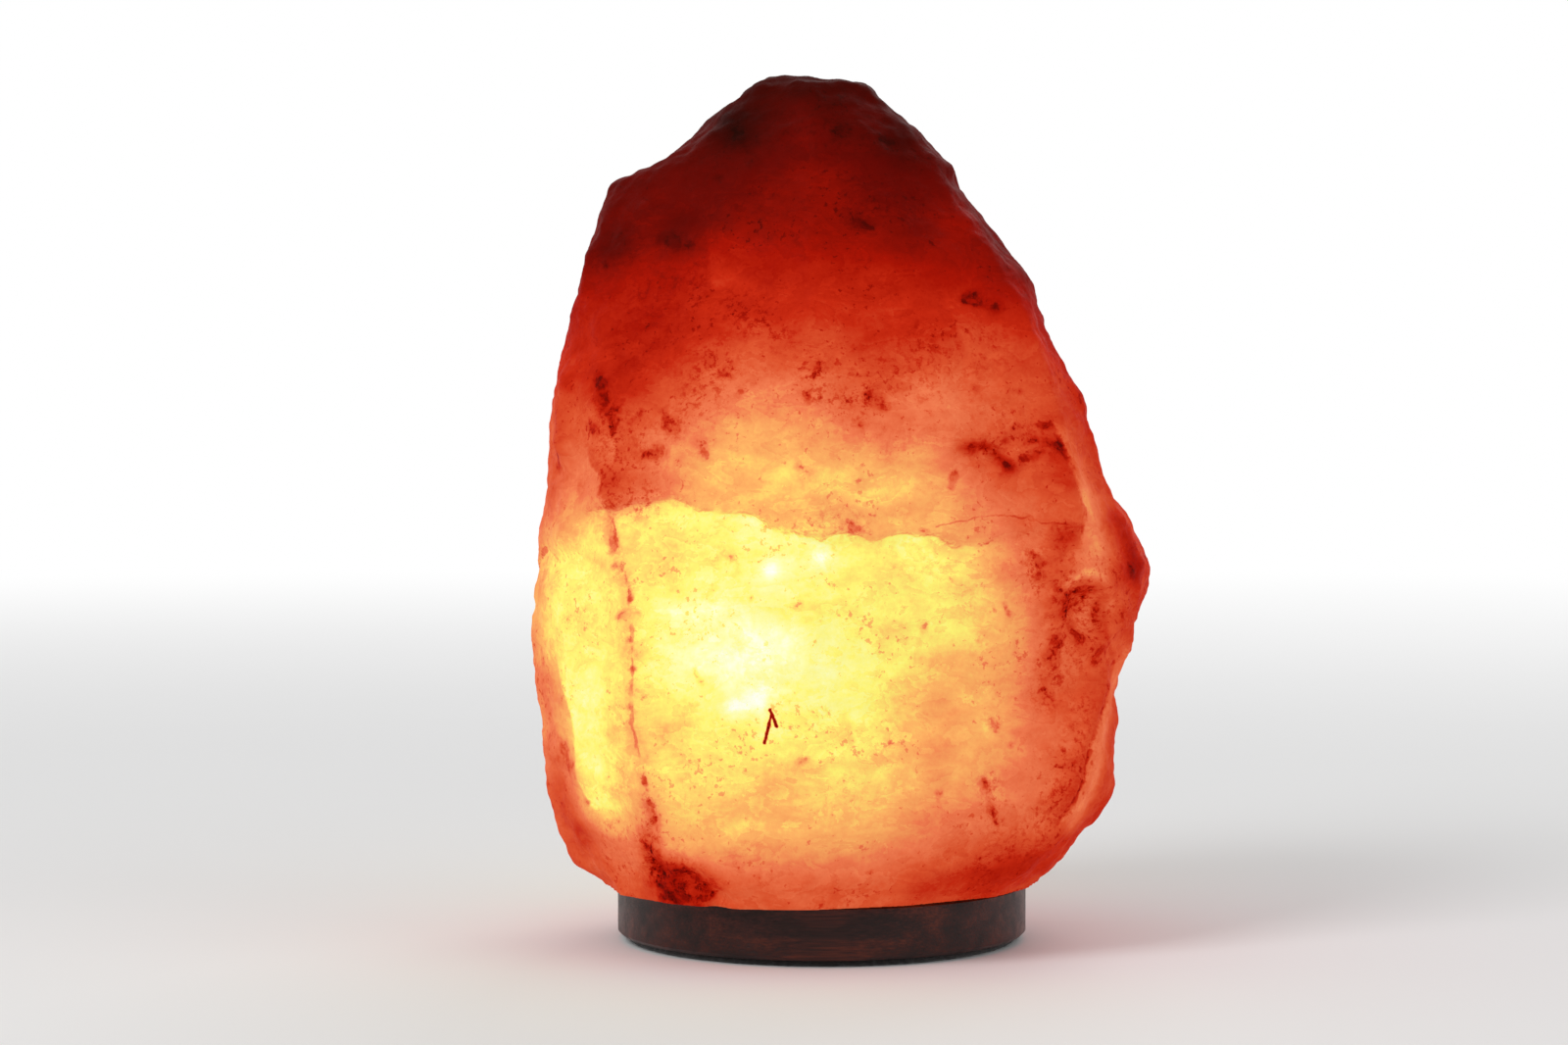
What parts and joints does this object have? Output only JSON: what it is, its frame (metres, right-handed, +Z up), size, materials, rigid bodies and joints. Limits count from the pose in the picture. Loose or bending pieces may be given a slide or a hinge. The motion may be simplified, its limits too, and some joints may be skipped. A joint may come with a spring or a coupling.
{
  "type": "salt crystal lamp",
  "caption": "Rough rock-salt block on a round wooden base, bored from below and lit by a small bulb in a clip-in lampholder.",
  "frame": {"origin": "on the base's axis, at table level under the felt pad", "axes": "+Z up along the base's axis; -Y is the front of the crystal, +Y the back, where the cord groove leaves; +X is to the right seen from the front"},
  "size_m": [0.1821, 0.1508, 0.2528],
  "materials": {
    "salt": "satin",
    "dark_wood": "satin",
    "felt": "matte",
    "steel": "satin",
    "nylon": "matte",
    "black_plastic": "satin",
    "porcelain": "gloss",
    "brass": "satin",
    "spring_steel": "satin",
    "nickel": "gloss",
    "black_glass": "gloss",
    "solder": "satin",
    "bulb_glass": "gloss",
    "tungsten": "satin"
  },
  "bodies": {
    "lamp_body": {"salt_crystal": "salt", "wooden_base": "dark_wood", "felt_pad": "felt", "base_screws": "steel", "wall_plugs": "nylon"},
    "lampholder": {"holder_cap": "black_plastic", "holder_shell": "black_plastic", "contact_carrier": "porcelain", "screw_shell": "brass", "centre_contact": "brass", "side_contact": "brass", "terminal_screws": "steel", "clip_band": "spring_steel", "clip_pins": "spring_steel"},
    "clip_left": {"spring_clip_left": "spring_steel"},
    "clip_right": {"spring_clip_right": "spring_steel"},
    "bulb_tip": {"cap_insulator": "black_glass", "tip_contact": "solder"},
    "bulb": {"bulb_cap": "nickel", "bulb_glass": "bulb_glass", "glass_stem": "bulb_glass", "lead_wires": "nickel", "filament": "tungsten"}
  },
  "joints": [
    {"name": "holder_pull", "type": "slide", "parent": "lamp_body", "child": "lampholder", "axis": [0, 0, -1], "range_m": [0, 0.115]},
    {"name": "clip_left_squeeze", "type": "hinge", "parent": "lampholder", "child": "clip_left", "pos_m": [-0.0166, 0, 0.047], "axis": [0, -1, 0], "range_deg": [0, 8], "stiffness_Nm_per_rad": 0.15},
    {"name": "clip_right_squeeze", "type": "hinge", "parent": "lampholder", "child": "clip_right", "pos_m": [0.0166, 0, 0.047], "axis": [0, 1, 0], "range_deg": [0, 8], "stiffness_Nm_per_rad": 0.15},
    {"name": "bulb_rise", "type": "slide", "parent": "lampholder", "child": "bulb_tip", "axis": [0, 0, 1], "range_m": [0, 0.01]},
    {"name": "bulb_turn", "type": "hinge", "parent": "bulb_tip", "child": "bulb", "pos_m": [0, 0, 0.04], "axis": [0, 0, 1], "range_deg": [0, 1270]}
  ],
  "couplings": [
    {"joint": "bulb_rise", "follows": "bulb_turn", "m_per_rad": 0.00044882}
  ]
}
